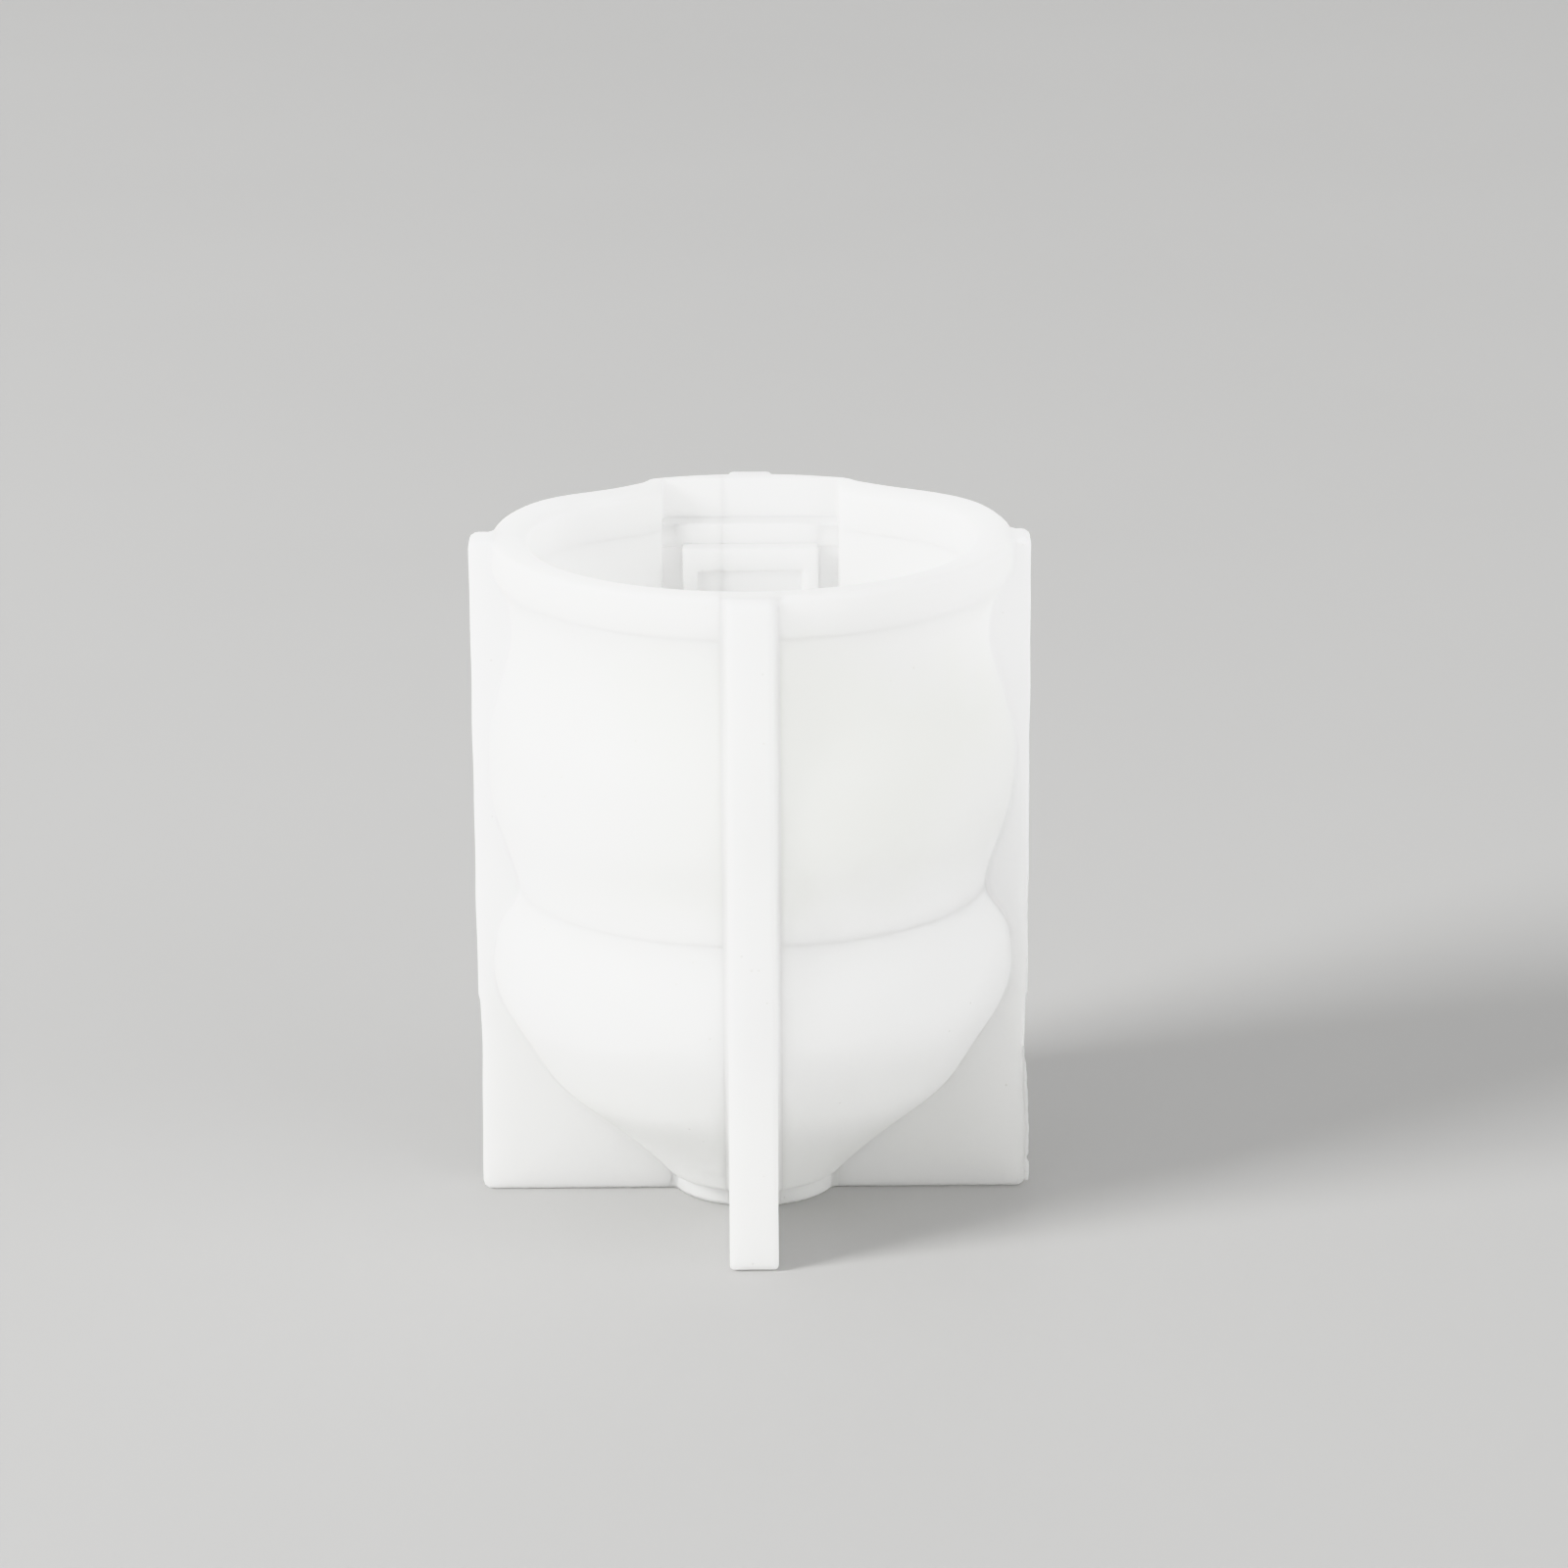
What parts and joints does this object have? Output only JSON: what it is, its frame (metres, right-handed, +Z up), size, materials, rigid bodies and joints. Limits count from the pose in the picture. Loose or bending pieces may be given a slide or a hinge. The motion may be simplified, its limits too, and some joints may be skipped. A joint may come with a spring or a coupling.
{
  "type": "candle mould",
  "caption": "Flexible silicone candle mould, mouth up on four fins: domed and waisted cavity with a stepped porch, slit at the back so the two halves peel open.",
  "frame": {"origin": "on the ground at the centre of the foot disc, midway between the fins' outer edges", "axes": "+Z up, out of the mouth; the front fin, where the mould bends, points to -Y, and the slit and the porch are on the +Y side; +X is to the right seen from the front"},
  "size_m": [0.08, 0.08, 0.0974],
  "materials": {
    "silicone": "satin, milky translucent silicone"
  },
  "bodies": {
    "spine": {"foot_disc": "silicone", "front_fin": "silicone", "spine_collar": "silicone", "spine_drum": "silicone", "spine_dome": "silicone"},
    "left_half": {"left_collar": "silicone", "left_drum": "silicone", "left_dome": "silicone", "left_fin": "silicone", "left_porch": "silicone"},
    "right_half": {"right_collar": "silicone", "right_drum": "silicone", "right_dome": "silicone", "right_fin": "silicone", "rear_fin": "silicone", "right_porch": "silicone"}
  },
  "joints": [
    {"name": "left_peel", "type": "hinge", "parent": "spine", "child": "left_half", "pos_m": [-0.00345, -0.0377, 0.0487], "axis": [0, 0, 1], "range_deg": [0, 22], "stiffness_Nm_per_rad": 0.06},
    {"name": "right_peel", "type": "hinge", "parent": "spine", "child": "right_half", "pos_m": [0.00345, -0.0377, 0.0487], "axis": [0, 0, -1], "range_deg": [0, 22], "stiffness_Nm_per_rad": 0.06}
  ]
}
